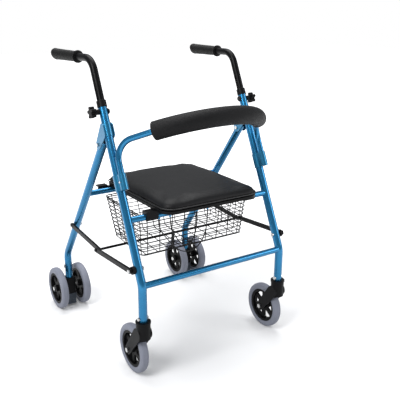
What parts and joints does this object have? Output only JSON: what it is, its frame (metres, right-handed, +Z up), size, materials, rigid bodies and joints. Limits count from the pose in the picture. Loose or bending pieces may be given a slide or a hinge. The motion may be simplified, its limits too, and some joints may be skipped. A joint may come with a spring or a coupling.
{
  "type": "rollator walker",
  "caption": "Folding rolling walker with bent tube frame, padded seat and curved backrest, wire basket, height-adjustable handles, swivel castors and twin rear wheels with press-down brakes.",
  "frame": {"origin": "middle of the outline on the floor under the walker", "axes": "+Z up, -Y the way it rolls (castors and backrest), +Y towards the person walking, +X to that person's left"},
  "size_m": [0.6256, 0.6973, 0.926],
  "materials": {
    "frame_blue": "gloss",
    "handle_black": "gloss",
    "bracket_blue": "gloss",
    "brace_black": "satin",
    "zinc_steel": "satin",
    "black_steel": "satin",
    "spring_steel": "satin",
    "black_plastic": "satin",
    "hub_plastic": "satin",
    "grey_tyre": "matte",
    "grip_rubber": "matte",
    "foot_rubber": "matte",
    "board_plastic": "matte",
    "seat_vinyl": "satin",
    "foam": "matte",
    "basket_wire": "satin",
    "cord": "matte"
  },
  "bodies": {
    "front_frame": {"front_leg_left": "frame_blue", "front_leg_right": "frame_blue", "lower_crossbar": "frame_blue", "seat_crossbar": "frame_blue", "pivot_brackets": "bracket_blue", "handle_collars": "black_plastic", "backrest_sockets": "bracket_blue", "backrest_tube": "frame_blue", "backrest_foam": "foam", "height_bolts": "black_steel", "castor_stems": "zinc_steel", "front_frame_bolts": "zinc_steel", "brace_spacers": "black_plastic", "basket_front": "basket_wire", "basket_rear": "basket_wire", "basket_left": "basket_wire", "basket_right": "basket_wire", "basket_floor": "basket_wire", "lift_cord_long": "cord", "lift_cord_short": "cord"},
    "rear_frame": {"rear_leg_left": "frame_blue", "rear_leg_right": "frame_blue", "rear_crossbar": "frame_blue", "rear_frame_bolts": "zinc_steel", "axle_housings": "black_plastic", "brake_feet": "foot_rubber", "brake_springs": "spring_steel"},
    "brace_front": {"brace_front_links": "brace_black"},
    "brace_rear": {"brace_rear_links": "brace_black", "brace_rod": "brace_black"},
    "seat": {"seat_board": "board_plastic", "seat_cushion": "seat_vinyl", "seat_hinge_clips": "black_plastic", "seat_hooks": "black_plastic"},
    "handle_left": {"handle_tube_left": "handle_black", "grip_left": "grip_rubber"},
    "knob_left": {"star_knob_left": "black_plastic"},
    "button_left": {"snap_button_left": "zinc_steel"},
    "castor_left": {"castor_fork_left": "black_plastic", "castor_axle_left": "zinc_steel"},
    "front_wheel_left": {"front_left_hub": "hub_plastic", "front_left_tyre": "grey_tyre"},
    "carriage_left": {"rear_axle_left": "zinc_steel"},
    "rear_wheel_left_outer": {"rear_left_outer_hub": "hub_plastic", "rear_left_outer_tyre": "grey_tyre"},
    "rear_wheel_left_inner": {"rear_left_inner_hub": "hub_plastic", "rear_left_inner_tyre": "grey_tyre"},
    "handle_right": {"handle_tube_right": "handle_black", "grip_right": "grip_rubber"},
    "knob_right": {"star_knob_right": "black_plastic"},
    "button_right": {"snap_button_right": "zinc_steel"},
    "castor_right": {"castor_fork_right": "black_plastic", "castor_axle_right": "zinc_steel"},
    "front_wheel_right": {"front_right_hub": "hub_plastic", "front_right_tyre": "grey_tyre"},
    "carriage_right": {"rear_axle_right": "zinc_steel"},
    "rear_wheel_right_outer": {"rear_right_outer_hub": "hub_plastic", "rear_right_outer_tyre": "grey_tyre"},
    "rear_wheel_right_inner": {"rear_right_inner_hub": "hub_plastic", "rear_right_inner_tyre": "grey_tyre"}
  },
  "joints": [
    {"name": "frame_fold", "type": "hinge", "parent": "front_frame", "child": "rear_frame", "pos_m": [0, -0.06796, 0.6647], "axis": [-1, 0, 0], "range_deg": [0, 36], "deforming": ["basket_front", "basket_rear", "basket_left", "basket_right", "basket_floor"]},
    {"name": "brace_front_turn", "type": "hinge", "parent": "front_frame", "child": "brace_front", "pos_m": [0, -0.26895, 0.345], "axis": [1, 0, 0], "range_deg": [0, 41]},
    {"name": "brace_rear_turn", "type": "hinge", "parent": "rear_frame", "child": "brace_rear", "pos_m": [0, 0.168, 0.345], "axis": [-1, 0, 0], "range_deg": [0, 52]},
    {"name": "seat_tilt", "type": "hinge", "parent": "front_frame", "child": "seat", "pos_m": [0, -0.21153, 0.471], "axis": [1, 0, 0], "range_deg": [0, 78]},
    {"name": "handle_height_left", "type": "slide", "parent": "front_frame", "child": "handle_left", "axis": [0, 0.4147, 0.91], "range_m": [-0.075, 0.05]},
    {"name": "knob_turn_left", "type": "hinge", "parent": "front_frame", "child": "knob_left", "pos_m": [0.282, -0.07891, 0.762], "axis": [1, 0, 0], "continuous": true},
    {"name": "button_press_left", "type": "slide", "parent": "front_frame", "child": "button_left", "axis": [-1, 0, 0], "range_m": [0, 0.003], "stiffness_N_per_m": 600, "springref_m": -0.002},
    {"name": "castor_swivel_left", "type": "hinge", "parent": "front_frame", "child": "castor_left", "pos_m": [0.252, -0.28946, 0.16], "axis": [0, 0, 1], "continuous": true},
    {"name": "front_wheel_spin_left", "type": "hinge", "parent": "castor_left", "child": "front_wheel_left", "pos_m": [0.252, -0.22846, 0.075], "axis": [1, 0, 0], "continuous": true},
    {"name": "brake_press_left", "type": "slide", "parent": "rear_frame", "child": "carriage_left", "axis": [0, 0, 1], "range_m": [0, 0.008], "stiffness_N_per_m": 12000, "springref_m": -0.005, "deforming": ["brake_springs"]},
    {"name": "rear_wheel_spin_left_outer", "type": "hinge", "parent": "carriage_left", "child": "rear_wheel_left_outer", "pos_m": [0.294, 0.27354, 0.075], "axis": [1, 0, 0], "continuous": true},
    {"name": "rear_wheel_spin_left_inner", "type": "hinge", "parent": "carriage_left", "child": "rear_wheel_left_inner", "pos_m": [0.21, 0.27354, 0.075], "axis": [1, 0, 0], "continuous": true},
    {"name": "handle_height_right", "type": "slide", "parent": "front_frame", "child": "handle_right", "axis": [0, 0.4147, 0.91], "range_m": [-0.075, 0.05]},
    {"name": "knob_turn_right", "type": "hinge", "parent": "front_frame", "child": "knob_right", "pos_m": [-0.282, -0.07891, 0.762], "axis": [-1, 0, 0], "continuous": true},
    {"name": "button_press_right", "type": "slide", "parent": "front_frame", "child": "button_right", "axis": [1, 0, 0], "range_m": [0, 0.003], "stiffness_N_per_m": 600, "springref_m": -0.002},
    {"name": "castor_swivel_right", "type": "hinge", "parent": "front_frame", "child": "castor_right", "pos_m": [-0.252, -0.28946, 0.16], "axis": [0, 0, 1], "continuous": true},
    {"name": "front_wheel_spin_right", "type": "hinge", "parent": "castor_right", "child": "front_wheel_right", "pos_m": [-0.252, -0.22846, 0.075], "axis": [1, 0, 0], "continuous": true},
    {"name": "brake_press_right", "type": "slide", "parent": "rear_frame", "child": "carriage_right", "axis": [0, 0, 1], "range_m": [0, 0.008], "stiffness_N_per_m": 12000, "springref_m": -0.005, "deforming": ["brake_springs"]},
    {"name": "rear_wheel_spin_right_outer", "type": "hinge", "parent": "carriage_right", "child": "rear_wheel_right_outer", "pos_m": [-0.294, 0.27354, 0.075], "axis": [1, 0, 0], "continuous": true},
    {"name": "rear_wheel_spin_right_inner", "type": "hinge", "parent": "carriage_right", "child": "rear_wheel_right_inner", "pos_m": [-0.21, 0.27354, 0.075], "axis": [1, 0, 0], "continuous": true}
  ],
  "couplings": [
    {"joint": "brace_front_turn", "follows": "frame_fold", "ratio": 1.1261},
    {"joint": "brace_rear_turn", "follows": "frame_fold", "ratio": 1.4339}
  ]
}
